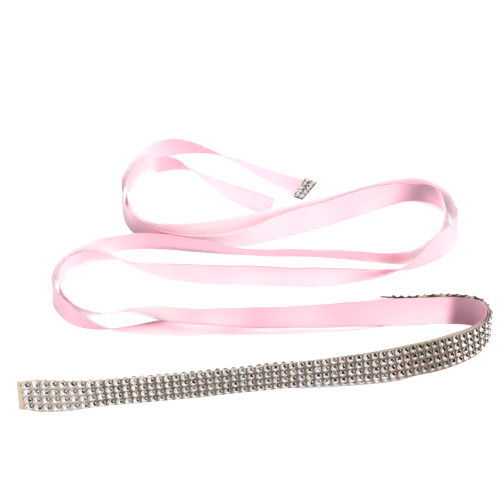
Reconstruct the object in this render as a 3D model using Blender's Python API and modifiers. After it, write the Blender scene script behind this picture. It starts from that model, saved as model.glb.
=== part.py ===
# Satin sash, lying in S bends on a table
import bpy
import numpy as np

# Sizes in millimetres, turned into metres when a mesh is made
MM = 0.001
RIBBON_WIDTH = 16.0
RIBBON_THICK = 1.1
SEAM = 0.3
STEP = 3.0
TRIM_THICK = 1.2
TRIM_BOTTOM = -7.3
TRIM_TOP = 7.8
TRIM_OUT = RIBBON_THICK / 2 + SEAM + TRIM_THICK / 2
TIP_LENGTH = 6.4
TIP_WIDTH = 18.0
TIP_OVERLAP = 1.0
TAIL_SLANT = 3.9
CENTRE_X = 4.67
CENTRE_Y = -18.62

# One table for each stretch of ribbon, one row for each bend.
# x, y: middle line seen from above. rise: lower edge above the table.
# lean: 0 stands on edge, 90 lies flat, above 90 is turned over.
FRONT_HALF = {
    "front_band": [
        (-105, -126.9, 1.6, 0),
        (-96, -127.2, 1.6, -12),
        (-85, -127.0, 1.6, -8),
        (-70, -125.1, 1.6, 2),
        (-50, -122.1, 1.6, 4),
        (-25, -118.6, 1.6, 5),
        (0, -114.8, 1.8, 6),
        (25, -112.4, 2.8, 4),
        (50, -109.6, 3.6, -2),
        (70, -105.6, 3.6, -12),
        (88, -98.2, 2.2, -18),
        (100, -92.0, 1.4, -12),
    ],
    "right_turn": [
        (110.4, -84.0, 0.8, -5),
        (115.4, -75.0, 0.5, 0),
        (113.4, -66.6, 0.5, 1),
        (104.6, -63.2, 0.5, 2),
    ],
    "lower_straight": [
        (92, -62.6, 0.5, 3),
        (78, -62.8, 0.4, 4),
        (67, -62.0, 0, 16),
        (57, -60.6, 0, 48),
        (47, -60.2, 0, 78),
        (36, -60.6, 0, 90),
        (14, -62.6, 0, 90),
        (-10, -62.8, 0, 90),
        (-30, -64.0, 0, 92),
        (-50, -69.0, 0, 107),
    ],
    "left_loop": [
        (-66, -72.2, 0, 126),
        (-80, -69.6, 0, 153),
        (-90, -62.2, 0, 173),
        (-96.5, -52.0, 0, 180),
        (-99, -39.0, 0, 184),
        (-96, -26.6, 0, 188),
        (-88, -16.4, 0, 192),
        (-76, -7.4, 0, 200),
    ],
    "middle_straight": [
        (-60, -2.6, 0, 205),
        (-44, -3.4, 0, 205),
        (-26, -6.2, 0, 211),
        (0, -10.2, 0, 221),
        (27, -11.4, 0, 221),
        (50, -13.2, 0, 218),
        (70, -16.4, 0, 214),
    ],
    "right_loop": [
        (82, -15.8, 0, 206),
        (92, -10.0, 0, 190),
        (99, -2.0, 0.4, 172),
        (102.4, 8.0, 1.0, 163),
        (104, 18.0, 1.6, 163),
        (102.5, 27.4, 2.9, 164),
        (97.4, 35.0, 3.5, 159),
        (89, 39.4, 2.0, 156),
        (78, 39.0, 1.0, 168),
    ],
    "upper_straight": [
        (66, 35.4, 0, 176),
        (49, 26.0, 0, 180),
        (33, 18.0, 0, 180),
        (16, 9.8, 0, 176),
        (0, 2.0, 0, 162),
        (-16, -1.8, 0, 150),
        (-32, -1.6, 0, 148),
        (-46, 0.8, 0, 155),
    ],
    "upper_loop": [
        (-56.5, 7.2, 0, 166),
        (-64, 18.0, 0, 174),
        (-68, 32.0, 0, 180),
        (-69.4, 46.0, 0, 183),
        (-66.6, 61.0, 0, 186),
        (-60.2, 73.0, 0, 188),
        (-51.6, 82.2, 0, 194),
        (-43, 87.4, 0, 202),
        (-34, 88.6, 0, 212),
    ],
    "tail": [
        (-22, 86.4, 0, 226),
        (-10, 80.0, 0, 236),
        (2, 71.8, 0, 250),
        (15, 63.6, 0, 264),
        (28, 56.6, 0, 270),
    ],
}

BACK_HALF = {
    "front_band": [
        (-105, -125.0, 0, 0),
        (-96, -125.2, 0.4, -11),
        (-85, -125.0, 0.3, -7),
        (-70, -123.1, 0, 2),
        (-50, -120.1, 0, 4),
        (-25, -116.6, 0, 5),
        (0, -112.8, 0, 6),
        (25, -110.4, 0, 4),
        (50, -107.6, 0.1, -2),
        (70, -103.6, 0.4, -12),
        (88, -96.2, 0, -18),
        (99.4, -90.2, 0, -12),
    ],
    "right_turn": [
        (108.6, -83.0, 0.2, -5),
        (113.2, -75.4, 0.8, 0),
        (111.4, -68.4, 1.3, 1),
        (104, -65.4, 1.5, 2),
    ],
    "lower_straight": [
        (92, -64.8, 1.5, 3),
        (78, -65.3, 1.6, 3),
        (64, -66.2, 2.1, 0),
        (50, -66.8, 2.3, -3),
        (34, -67.8, 2.0, -8),
        (8, -69.0, 1.8, -13),
        (-22, -68.6, 1.8, -22),
        (-42, -66.0, 1.8, -27),
        (-54, -61.4, 0.6, -37),
    ],
    "left_loop": [
        (-65, -58.6, 0, -52),
        (-73, -60.4, 0, -50),
        (-82, -61.4, 0, -34),
        (-89, -57.6, 0, -14),
        (-93.5, -49.4, 0, -4),
        (-95.6, -38.4, 0, 4),
        (-93, -28.0, 0, 12),
        (-86.6, -19.6, 0, 24),
        (-78, -14.4, 0, 34),
    ],
    "middle_straight": [
        (-68, -15.0, 0, 45),
        (-60, -17.8, 0, 57),
        (-50, -20.0, 0, 72),
        (-36, -20.9, 0, 84),
        (-20, -21.6, 0, 90),
        (5, -22.8, 0, 90),
        (30, -24.2, 0, 90),
        (48, -24.2, 0, 83),
        (62, -25.0, 0, 71),
        (74, -24.4, 0, 53),
    ],
    "right_loop": [
        (84, -20.4, 0, 28),
        (93, -12.6, 0, 8),
        (100, -5.4, 0, -3),
        (105.4, 2.0, 0, -4),
        (108.6, 11.0, 0, -3),
        (108.4, 21.0, 0, -2),
        (105.4, 30.4, 0, 0),
        (100, 38.6, 0, 0),
        (91, 43.9, 0, 0),
        (80, 43.6, 0, 0),
    ],
    "upper_straight": [
        (66, 39.4, 0, 0),
        (50, 32.0, 0, 0),
        (33, 24.6, 0, 0),
        (15, 15.8, 0, 0),
        (-3, 9.4, 0, -4),
        (-20, 5.8, 0, -10),
        (-36, 3.8, 0, -14),
        (-49, 5.2, 0, -14),
    ],
    "upper_loop": [
        (-58, 12.0, 0, -8),
        (-63.6, 22.0, 0, 0),
        (-66, 34.0, 0, 4),
        (-66.2, 46.0, 0, 8),
        (-62.6, 57.6, 0, 12),
        (-56.4, 66.0, 0, 18),
        (-48, 70.6, 0, 27),
        (-39, 71.4, 0, 37),
    ],
    "tail": [
        (-30, 66.8, 0, 49),
        (-20, 58.8, 0, 62),
        (-7, 49.6, 0, 80),
        (9, 40.4, 0, 90),
    ],
}

# A loop is cut in two at its outermost row, into a near and a far solid
FRONT_CUTS = {"left_loop": 4, "right_loop": 4, "upper_loop": 3}
BACK_CUTS = {"left_loop": 5, "right_loop": 5, "upper_loop": 3}

bpy.context.scene.unit_settings.system = "METRIC"
bpy.context.scene.unit_settings.length_unit = "MILLIMETERS"
for old in list(bpy.data.objects):
    bpy.data.objects.remove(old, do_unlink=True)
sash = bpy.data.collections.new("satin_sash")
bpy.context.scene.collection.children.link(sash)


def material(name, colour, roughness, metallic=0.0):
    made = bpy.data.materials.new(name)
    made.use_nodes = True
    shader = made.node_tree.nodes["Principled BSDF"]
    shader.inputs["Base Color"].default_value = (*colour, 1)
    shader.inputs["Roughness"].default_value = roughness
    shader.inputs["Metallic"].default_value = metallic
    return made


satin = material("satin", (0.93, 0.62, 0.7), 0.35)
rhinestone = material("rhinestone_trim", (0.62, 0.6, 0.6), 0.25, 0.6)


def smooth_curve(at, values, where):
    """Natural cubic spline through values, given at the distances in at."""
    gap = np.diff(at)
    slope = np.diff(values) / gap
    bend = np.zeros(len(at))
    left = np.diag(2 * (gap[:-1] + gap[1:])) + np.diag(gap[1:-1], 1) + np.diag(gap[1:-1], -1)
    bend[1:-1] = np.linalg.solve(left, 6 * np.diff(slope))
    k = np.clip(np.searchsorted(at, where, side="right") - 1, 0, len(gap) - 1)
    a = (at[k + 1] - where) / gap[k]
    b = 1 - a
    curved = ((a**3 - a) * bend[k] + (b**3 - b) * bend[k + 1]) * gap[k] ** 2 / 6
    return a * values[k] + b * values[k + 1] + curved


def eased(at, values, where):
    """Cubic through values that never swings past them."""
    gap = np.diff(at)
    slope = np.diff(values) / gap
    same = slope[:-1] * slope[1:] > 0
    safe = np.where(same, slope[:-1], 1), np.where(same, slope[1:], 1)
    first, second = 2 * gap[1:] + gap[:-1], gap[1:] + 2 * gap[:-1]
    pace = np.zeros(len(at))
    pace[1:-1] = np.where(same, (first + second) / (first / safe[0] + second / safe[1]), 0)
    pace[0], pace[-1] = slope[0], slope[-1]
    k = np.clip(np.searchsorted(at, where, side="right") - 1, 0, len(gap) - 1)
    t = (where - at[k]) / gap[k]
    held = values[k] * (1 + 2 * t) * (1 - t) ** 2 + values[k + 1] * t * t * (3 - 2 * t)
    return held + gap[k] * t * (1 - t) * (pace[k] * (1 - t) - pace[k + 1] * t)


class Half:
    """One half of the ribbon: gives its middle line, the way up its width and the way out of its face."""

    def __init__(self, tables):
        self.rows = np.array([row for table in tables.values() for row in table], float)
        self.at = np.r_[0, np.cumsum(np.hypot(*np.diff(self.rows[:, :2], axis=0).T))]
        self.length = self.at[-1]
        ends = np.cumsum([len(table) for table in tables.values()])
        self.first_row = dict(zip(tables, ends - [len(table) for table in tables.values()]))

    def frame(self, where):
        near = np.clip(where, 0, self.length)
        x, y = (smooth_curve(self.at, self.rows[:, i], near) for i in (0, 1))
        ahead, behind = np.minimum(near + 0.5, self.length), np.maximum(near - 0.5, 0)
        run = [
            smooth_curve(self.at, self.rows[:, i], ahead) - smooth_curve(self.at, self.rows[:, i], behind)
            for i in (0, 1)
        ]
        along = np.array(run) / np.hypot(*run)
        rise = eased(self.at, self.rows[:, 2], near)
        lean = np.radians(eased(self.at, self.rows[:, 3], near))
        right = np.array([along[1], -along[0]])
        past = where - near
        half_height = RIBBON_WIDTH / 2 * np.abs(np.cos(lean)) + RIBBON_THICK / 2 * np.abs(np.sin(lean))
        middle = np.stack([x + along[0] * past, y + along[1] * past, rise + half_height], axis=-1)
        up = np.stack([np.sin(lean) * right[0], np.sin(lean) * right[1], np.cos(lean)], axis=-1)
        out = np.stack([np.cos(lean) * right[0], np.cos(lean) * right[1], -np.sin(lean)], axis=-1)
        return middle, up, out


def sheet(name, points, thickness, look):
    """An open grid of points, given its wall by a Solidify."""
    rows, columns = points.shape[:2]
    corner = np.arange(rows * columns).reshape(rows, columns)
    faces = np.stack([corner[:-1, :-1], corner[1:, :-1], corner[1:, 1:], corner[:-1, 1:]], axis=-1)
    mesh = bpy.data.meshes.new(name)
    placed = (points.reshape(-1, 3) - [CENTRE_X, CENTRE_Y, 0]) * MM
    mesh.from_pydata(placed.tolist(), [], faces.reshape(-1, 4).tolist())
    mesh.shade_smooth()
    mesh.materials.append(look)
    made = bpy.data.objects.new(name, mesh)
    sash.objects.link(made)
    wall = made.modifiers.new("wall", "SOLIDIFY")
    wall.thickness = thickness * MM
    wall.offset = 0
    return made


def stretch(name, half, start, end, low=-RIBBON_WIDTH / 2, high=RIBBON_WIDTH / 2, moved=0.0, slant=0.0):
    """A length of the half between two distances; moved puts it off the ribbon's face, slant cuts its end."""
    count = max(2, int(round((end - start) / STEP)) + 1)
    share = np.linspace(0, 1, count)[:, None]
    across = np.linspace(low, high, 3)[None, :]
    where = start + (end - start) * share + slant * across / RIBBON_WIDTH * np.clip(share * 3 - 2, 0, 1)
    middle, up, out = half.frame(where)
    points = middle + across[..., None] * up + moved * out
    thick, look = (TRIM_THICK, rhinestone) if moved else (RIBBON_THICK, satin)
    return sheet(name, points, thick, look)


def ribbon(prefix, half, tables, cuts, slant):
    """Every stretch of a half, with a seam's gap between them; a loop is two solids, near and far."""
    places = []
    for name in tables:
        first = half.first_row[name]
        if name in cuts:
            places += [(f"{prefix}_{name}_near", first), (f"{prefix}_{name}_far", first + cuts[name])]
        else:
            places.append((f"{prefix}_{name}", first))
    bounds = [half.at[row] + SEAM / 2 for _, row in places] + [half.length + SEAM / 2]
    for (label, _), start, following in zip(places, bounds[:-1], bounds[1:]):
        stretch(label, half, start, following - SEAM, slant=slant if label.endswith("tail") else 0)


def fold(name, low, high, radius_more, thick, look):
    """The turn at the left end: half a circle from the start of the front half to that of the back half."""
    ends = [half.frame(np.array([0.0]))[0][0] for half in (front, back)]
    centre = (ends[0] + ends[1]) / 2
    reach = (ends[0] - ends[1]) / 2
    reach[2] = 0
    radius = np.linalg.norm(reach)
    side = np.array([reach[1], -reach[0], 0]) / radius
    turn = np.linspace(0, np.pi, 9)[:, None, None]
    across = np.linspace(low, high, 3)[None, :, None]
    wide = radius + radius_more
    points = centre + reach / radius * wide * np.cos(turn) + side * (wide * np.sin(turn) + SEAM)
    points = points + (ends[0] - ends[1]) * [0, 0, 0.5] * np.cos(turn) + across * [0, 0, 1]
    return sheet(name, points, thick, look)


front = Half(FRONT_HALF)
back = Half(BACK_HALF)
ribbon("front", front, FRONT_HALF, FRONT_CUTS, 0)
ribbon("back", back, BACK_HALF, BACK_CUTS, TAIL_SLANT)
fold("end_fold", -RIBBON_WIDTH / 2, RIBBON_WIDTH / 2, 0, RIBBON_THICK, satin)

# Rhinestone banding: along the front half, round the fold and back behind the back half
turn_start = front.at[front.first_row["right_turn"]]
front_end = front.at[front.first_row["lower_straight"] + 2] + 1.0
back_end = back.at[back.first_row["front_band"] + 9] + 2.0
for name, start, end in (("trim_front", 0, turn_start), ("trim_turn", turn_start, front_end)):
    stretch(name, front, start + SEAM / 2, end - SEAM / 2, TRIM_BOTTOM, TRIM_TOP, TRIM_OUT)
stretch("trim_behind", back, SEAM / 2, back_end, -RIBBON_WIDTH / 2, TRIM_TOP, -TRIM_OUT)
fold("trim_fold", TRIM_BOTTOM, TRIM_TOP, TRIM_OUT, TRIM_THICK, rhinestone)

# The short banding on the end of the front tail, on its upper side
tip_start = front.length - TIP_OVERLAP
stretch("tip_trim", front, tip_start, tip_start + TIP_LENGTH, -TIP_WIDTH / 2, TIP_WIDTH / 2, TRIM_OUT)
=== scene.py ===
import bpy
import numpy as np
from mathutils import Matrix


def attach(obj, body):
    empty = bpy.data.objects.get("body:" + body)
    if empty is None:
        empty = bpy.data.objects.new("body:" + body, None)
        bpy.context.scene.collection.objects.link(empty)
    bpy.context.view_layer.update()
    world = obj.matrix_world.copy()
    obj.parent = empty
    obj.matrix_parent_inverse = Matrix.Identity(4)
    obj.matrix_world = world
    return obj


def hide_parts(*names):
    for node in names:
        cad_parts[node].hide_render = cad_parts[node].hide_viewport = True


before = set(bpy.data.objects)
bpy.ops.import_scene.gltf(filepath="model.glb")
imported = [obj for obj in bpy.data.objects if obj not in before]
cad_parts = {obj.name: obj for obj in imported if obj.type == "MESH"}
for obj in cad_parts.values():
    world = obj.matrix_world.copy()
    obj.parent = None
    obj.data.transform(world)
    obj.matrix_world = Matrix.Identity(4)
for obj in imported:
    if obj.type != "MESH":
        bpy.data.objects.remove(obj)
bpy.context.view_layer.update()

mm = 0.001
print("frame loaded:", len(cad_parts), "solids")

# Where the layout's own zero lies in the frame, in millimetres, and how the camera looks at it
layout = {
    "centre": (4.67, -18.62, 0.0),
    "cameraAngle": 36.0,  # above the table
    "cameraDistance": 940.0,
    "lens": 129.6,
    "sensor": 36.0,
    "clip": (0.01, 50.0),  # in metres
}

# One table for each stretch of ribbon, one row for each bend, in millimetres and degrees.
# x, y: middle line seen from above. rise: lower edge above the table.
# lean: 0 stands on edge, 90 lies flat, above 90 is turned over.
frontHalf = {
    "frontBand": [
        (-105, -126.9, 1.6, 0),
        (-96, -127.2, 1.6, -12),
        (-85, -127.0, 1.6, -8),
        (-70, -125.1, 1.6, 2),
        (-50, -122.1, 1.6, 4),
        (-25, -118.6, 1.6, 5),
        (0, -114.8, 1.8, 6),
        (25, -112.4, 2.8, 4),
        (50, -109.6, 3.6, -2),
        (70, -105.6, 3.6, -12),
        (88, -98.2, 2.2, -18),
        (100, -92.0, 1.4, -12),
    ],
    "rightTurn": [
        (110.4, -84.0, 0.8, -5),
        (115.4, -75.0, 0.5, 0),
        (113.4, -66.6, 0.5, 1),
        (104.6, -63.2, 0.5, 2),
    ],
    "lowerStraight": [
        (92, -62.6, 0.5, 3),
        (78, -62.8, 0.4, 4),
        (67, -62.0, 0, 16),
        (57, -60.6, 0, 48),
        (47, -60.2, 0, 78),
        (36, -60.6, 0, 90),
        (14, -62.6, 0, 90),
        (-10, -62.8, 0, 90),
        (-30, -64.0, 0, 92),
        (-50, -69.0, 0, 107),
    ],
    "leftLoop": [
        (-66, -72.2, 0, 126),
        (-80, -69.6, 0, 153),
        (-90, -62.2, 0, 173),
        (-96.5, -52.0, 0, 180),
        (-99, -39.0, 0, 184),
        (-96, -26.6, 0, 188),
        (-88, -16.4, 0, 192),
        (-76, -7.4, 0, 200),
    ],
    "middleStraight": [
        (-60, -2.6, 0, 205),
        (-44, -3.4, 0, 205),
        (-26, -6.2, 0, 211),
        (0, -10.2, 0, 221),
        (27, -11.4, 0, 221),
        (50, -13.2, 0, 218),
        (70, -16.4, 0, 214),
    ],
    "rightLoop": [
        (82, -15.8, 0, 206),
        (92, -10.0, 0, 190),
        (99, -2.0, 0.4, 172),
        (102.4, 8.0, 1.0, 163),
        (104, 18.0, 1.6, 163),
        (102.5, 27.4, 2.9, 164),
        (97.4, 35.0, 3.5, 159),
        (89, 39.4, 2.0, 156),
        (78, 39.0, 1.0, 168),
    ],
    "upperStraight": [
        (66, 35.4, 0, 176),
        (49, 26.0, 0, 180),
        (33, 18.0, 0, 180),
        (16, 9.8, 0, 176),
        (0, 2.0, 0, 162),
        (-16, -1.8, 0, 150),
        (-32, -1.6, 0, 148),
        (-46, 0.8, 0, 155),
    ],
    "upperLoop": [
        (-56.5, 7.2, 0, 166),
        (-64, 18.0, 0, 174),
        (-68, 32.0, 0, 180),
        (-69.4, 46.0, 0, 183),
        (-66.6, 61.0, 0, 186),
        (-60.2, 73.0, 0, 188),
        (-51.6, 82.2, 0, 194),
        (-43, 87.4, 0, 202),
        (-34, 88.6, 0, 212),
    ],
    "tail": [
        (-22, 86.4, 0, 226),
        (-10, 80.0, 0, 236),
        (2, 71.8, 0, 250),
        (15, 63.6, 0, 264),
        (28, 56.6, 0, 270),
    ],
}

backHalf = {
    "frontBand": [
        (-105, -125.0, 0, 0),
        (-96, -125.2, 0.4, -11),
        (-85, -125.0, 0.3, -7),
        (-70, -123.1, 0, 2),
        (-50, -120.1, 0, 4),
        (-25, -116.6, 0, 5),
        (0, -112.8, 0, 6),
        (25, -110.4, 0, 4),
        (50, -107.6, 0.1, -2),
        (70, -103.6, 0.4, -12),
        (88, -96.2, 0, -18),
        (99.4, -90.2, 0, -12),
    ],
    "rightTurn": [
        (108.6, -83.0, 0.2, -5),
        (113.2, -75.4, 0.8, 0),
        (111.4, -68.4, 1.3, 1),
        (104, -65.4, 1.5, 2),
    ],
    "lowerStraight": [
        (92, -64.8, 1.5, 3),
        (78, -65.3, 1.6, 3),
        (64, -66.2, 2.1, 0),
        (50, -66.8, 2.3, -3),
        (34, -67.8, 2.0, -8),
        (8, -69.0, 1.8, -13),
        (-22, -68.6, 1.8, -22),
        (-42, -66.0, 1.8, -27),
        (-54, -61.4, 0.6, -37),
    ],
    "leftLoop": [
        (-65, -58.6, 0, -52),
        (-73, -60.4, 0, -50),
        (-82, -61.4, 0, -34),
        (-89, -57.6, 0, -14),
        (-93.5, -49.4, 0, -4),
        (-95.6, -38.4, 0, 4),
        (-93, -28.0, 0, 12),
        (-86.6, -19.6, 0, 24),
        (-78, -14.4, 0, 34),
    ],
    "middleStraight": [
        (-68, -15.0, 0, 45),
        (-60, -17.8, 0, 57),
        (-50, -20.0, 0, 72),
        (-36, -20.9, 0, 84),
        (-20, -21.6, 0, 90),
        (5, -22.8, 0, 90),
        (30, -24.2, 0, 90),
        (48, -24.2, 0, 83),
        (62, -25.0, 0, 71),
        (74, -24.4, 0, 53),
    ],
    "rightLoop": [
        (84, -20.4, 0, 28),
        (93, -12.6, 0, 8),
        (100, -5.4, 0, -3),
        (105.4, 2.0, 0, -4),
        (108.6, 11.0, 0, -3),
        (108.4, 21.0, 0, -2),
        (105.4, 30.4, 0, 0),
        (100, 38.6, 0, 0),
        (91, 43.9, 0, 0),
        (80, 43.6, 0, 0),
    ],
    "upperStraight": [
        (66, 39.4, 0, 0),
        (50, 32.0, 0, 0),
        (33, 24.6, 0, 0),
        (15, 15.8, 0, 0),
        (-3, 9.4, 0, -4),
        (-20, 5.8, 0, -10),
        (-36, 3.8, 0, -14),
        (-49, 5.2, 0, -14),
    ],
    "upperLoop": [
        (-58, 12.0, 0, -8),
        (-63.6, 22.0, 0, 0),
        (-66, 34.0, 0, 4),
        (-66.2, 46.0, 0, 8),
        (-62.6, 57.6, 0, 12),
        (-56.4, 66.0, 0, 18),
        (-48, 70.6, 0, 27),
        (-39, 71.4, 0, 37),
    ],
    "tail": [
        (-30, 66.8, 0, 49),
        (-20, 58.8, 0, 62),
        (-7, 49.6, 0, 80),
        (9, 40.4, 0, 90),
    ],
}


ribbonSizes = {
    "width": 16.0,
    "thick": 0.3,
    "step": 1.2,  # between stations along the ribbon
    "across": 15,  # stations across its width
    "foldReach": 2.0,  # how far the fold at the left end bulges
    "tailSlant": 3.9,  # the back tail's end is cut this much aslant
    "slantOver": 18.0,
    "tailMore": 2.6,  # the back tail is this much longer than its solid
    "probe": 0.5,  # the middle line's direction is taken over this much each way
    "hollow": 0.16,  # the width is very slightly hollow, and this share of that lies below its middle
    "hollowLevel": 0.4,
    "edgeWave": 0.14,
    "lineWave": 0.12,
    "freeOver": 25.0,  # past the band the waves grow to their full height over this length
    # waves along the ribbon: length over 2 pi, share of the height, start, and its shift at an edge
    "edgeWaves": [(5.9, 1.0, 0.0, 1.3), (9.7, 0.7, 2.1, -0.8), (3.3, 0.5, 0.0, 0.0)],
    "lineWaves": [(11.3, 1.0, 0.4, 0.0), (6.1, 0.6, 1.9, 0.0)],
    # distance from the fold, and how far the back half is drawn to the front half
    "snug": [
        (0, 0), (12, 0.8), (180, 1.2), (205, 1.2), (228, 1.4), (240, 1.7), (250, 1.5), (268, 1.4), (285, 0.8),
        (310, 0),
    ],
    # distance from the fold, and how far each half sinks
    "frontSink": [
        (0, 0.5), (40, 0.5), (60, 1.0), (110, 1.0), (135, 0.5), (165, 0.3), (200, 0.4), (225, 0.4),
        (242, -0.3), (262, -0.5), (278, 0.8), (300, 1.2), (330, 0),
    ],
    "backSink": [
        (0, 0.5), (105, 0.5), (113, -0.5), (126, -0.5), (134, 0.0), (176, -0.2), (185, -1.2), (190, -1.5),
        (206, -1.4), (222, -0.5), (240, 0), (262, 0.5), (330, 0.5), (345, 0.2), (365, -0.6), (385, -0.6),
        (405, 0),
    ],
    # soft troughs and ridges: half, distance, place across, length, width, height, and turn in degrees
    "creases": [
        ("front", 480, 2, 9, 14, 0.35, 10),
        ("front", 610, -3, 12, 10, -0.30, -15),
        ("back", 402, 0, 10, 16, 0.35, 12),
        ("back", 655, 2, 8, 12, -0.40, 30),
    ],
}


def smoothCurve(at, values, where):
    # natural cubic spline: a straight mix of the two rows plus a bend that dies out at both
    gap = np.diff(at)
    slope = np.diff(values) / gap
    bend = np.zeros(len(at))
    left = np.diag(2 * (gap[:-1] + gap[1:])) + np.diag(gap[1:-1], 1) + np.diag(gap[1:-1], -1)
    bend[1:-1] = np.linalg.solve(left, 6 * np.diff(slope))
    k = np.clip(np.searchsorted(at, where, side="right") - 1, 0, len(gap) - 1)
    a = (at[k + 1] - where) / gap[k]
    b = 1 - a
    curved = ((a**3 - a) * bend[k] + (b**3 - b) * bend[k + 1]) * gap[k] ** 2 / 6
    return a * values[k] + b * values[k + 1] + curved


def easedCurve(at, values, where):
    # cubic between rows whose slope at a row is the harmonic mean of both sides, so it never swings past them
    gap = np.diff(at)
    slope = np.diff(values) / gap
    same = slope[:-1] * slope[1:] > 0
    safe = np.where(same, slope[:-1], 1), np.where(same, slope[1:], 1)
    first, second = 2 * gap[1:] + gap[:-1], gap[1:] + 2 * gap[:-1]
    pace = np.zeros(len(at))
    pace[1:-1] = np.where(same, (first + second) / (first / safe[0] + second / safe[1]), 0)
    pace[0], pace[-1] = slope[0], slope[-1]
    k = np.clip(np.searchsorted(at, where, side="right") - 1, 0, len(gap) - 1)
    t = (where - at[k]) / gap[k]
    held = values[k] * (1 + 2 * t) * (1 - t) ** 2 + values[k + 1] * t * t * (3 - 2 * t)
    return held + gap[k] * t * (1 - t) * (pace[k] * (1 - t) - pace[k + 1] * t)


def unit(vectors):
    # each vector over its own length
    return vectors / np.linalg.norm(vectors, axis=-1, keepdims=True)


class Half:
    # one half of the ribbon: its middle line, the way up its width, and the way out of its face
    def __init__(self, tables):
        self.rows = np.array([row for table in tables.values() for row in table], float)
        self.at = np.r_[0, np.cumsum(np.hypot(*np.diff(self.rows[:, :2], axis=0).T))]
        self.length = self.at[-1]
        counts = [len(table) for table in tables.values()]
        self.firstRow = dict(zip(tables, np.cumsum(counts) - counts))

    def line(self, where):
        # x and y of the middle line, a spline through the rows
        return np.stack([smoothCurve(self.at, self.rows[:, i], where) for i in (0, 1)], axis=-1)

    def frameAt(self, where):
        # along: the middle line's direction. The width stands up from it, turned by the lean about it.
        near = np.clip(where, 0, self.length)
        ahead = np.minimum(near + ribbonSizes["probe"], self.length)
        behind = np.maximum(near - ribbonSizes["probe"], 0)
        along = unit(self.line(ahead) - self.line(behind))
        rise = easedCurve(self.at, self.rows[:, 2], near)
        lean = np.radians(easedCurve(self.at, self.rows[:, 3], near))
        s, c = np.sin(lean), np.cos(lean)
        flat = self.line(near) + along * (where - near)[..., None]
        height = rise + ribbonSizes["width"] / 2 * np.abs(c) + ribbonSizes["thick"] / 2 * np.abs(s)
        middle = np.concatenate([flat, height[..., None]], axis=-1)
        up = np.stack([s * along[..., 1], -s * along[..., 0], c], axis=-1)
        out = np.stack([c * along[..., 1], -c * along[..., 0], -s], axis=-1)
        return middle, up, out


frontLine = Half(frontHalf)
backLine = Half(backHalf)
foldStart = frontLine.frameAt(np.array([0.0]))[0][0]
foldEnd = backLine.frameAt(np.array([0.0]))[0][0]
foldMiddle = (foldStart + foldEnd) / 2
foldGap = np.linalg.norm((foldStart - foldEnd)[:2]) / 2
# half of the fold's length: a quarter of an ellipse, about pi / 2 times the mean of its two half axes
foldHalf = 0.5 * np.pi * np.sqrt((foldGap**2 + ribbonSizes["foldReach"] ** 2) / 2)


def alongRibbon(run):
    # run: distance from the fold, below 0 on the front half and above 0 on the back half.
    # The face is the side that carries the stones. The fold is half an ellipse between the two halves.
    run = np.asarray(run, float)
    frontMiddle, frontUp, frontOut = frontLine.frameAt(np.maximum(-run - foldHalf, 0))
    backMiddle, backUp, backOut = backLine.frameAt(np.maximum(run - foldHalf, 0))
    turn = np.clip(run / foldHalf, -1, 1) * np.pi / 2 + np.pi / 2
    apart, reach = foldGap, ribbonSizes["foldReach"]
    zero = np.zeros_like(turn)
    foldPoint = foldMiddle + np.stack([-reach * np.sin(turn), -apart * np.cos(turn), zero], axis=-1)
    foldPoint[..., 2] = foldMiddle[2] + (foldStart - foldEnd)[2] / 2 * np.cos(turn)
    foldFace = unit(np.stack([-apart * np.sin(turn), -reach * np.cos(turn), zero], axis=-1))
    foldUp = np.stack([zero, zero, zero + 1], axis=-1)
    isFront, isBack = (run < -foldHalf)[..., None], (run > foldHalf)[..., None]
    middle = np.where(isFront, frontMiddle, np.where(isBack, backMiddle, foldPoint))
    up = np.where(isFront, frontUp, np.where(isBack, backUp, foldUp))
    face = np.where(isFront, frontOut, np.where(isBack, -backOut, foldFace))
    return middle, up, face


def stopsAt(half, name, row, more):
    # the distance of one row of a stretch, and a little more
    return half.at[half.firstRow[name] + row] + more


bandFront = stopsAt(frontLine, "lowerStraight", 2, 1.0)  # the band's length on each half
bandBack = stopsAt(backLine, "frontBand", 9, 2.0)


def smoothStep(low, high, x):
    # 0 up to low, 1 from high, and 3 t^2 - 2 t^3 between them
    t = np.clip((x - low) / (high - low), 0, 1)
    return t * t * (3 - 2 * t)


def runOf(half, at):
    # the run of a place that lies at this distance along one half
    return (-1 if half == "front" else 1) * (at + foldHalf)


def wavesOf(run, side, waves):
    # the sum of share * sine of (run / length + start + shift * side)
    return sum(share * np.sin(run / length + start + shift * side) for length, share, start, shift in waves)


def flutter(run, across):
    # small lift off the face: waves along both edges and the middle, a hollow width, and the listed creases;
    # nothing where the band stiffens the ribbon
    side = across / (ribbonSizes["width"] / 2)
    lift = ribbonSizes["edgeWave"] * wavesOf(run, side, ribbonSizes["edgeWaves"]) * side**2
    lift = lift + ribbonSizes["lineWave"] * wavesOf(run, side, ribbonSizes["lineWaves"])
    lift = lift + ribbonSizes["hollow"] * (side**2 - ribbonSizes["hollowLevel"])
    for half, at, place, length, width, height, turned in ribbonSizes["creases"]:
        away = run - runOf(half, at)
        c, s = np.cos(np.radians(turned)), np.sin(np.radians(turned))
        u, v = away * c + (across - place) * s, (across - place) * c - away * s
        lift = lift + height * np.exp(-((u / length) ** 2) - (v / width) ** 2)
    over = ribbonSizes["freeOver"]
    frontFree = smoothStep(bandFront, bandFront + over, -run)
    backFree = smoothStep(bandBack, bandBack + over, run)
    return lift * np.where(run < 0, frontFree, backFree)


def byDistance(run, table):
    # a value read from rows of (distance from the fold, value)
    return np.interp(np.abs(run) - foldHalf, *np.transpose(table))


def snug(run):
    # the back half is drawn this far towards the front half along the band and round the right turn
    return -np.where(run > foldHalf, byDistance(run, ribbonSizes["snug"]), 0)


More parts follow.
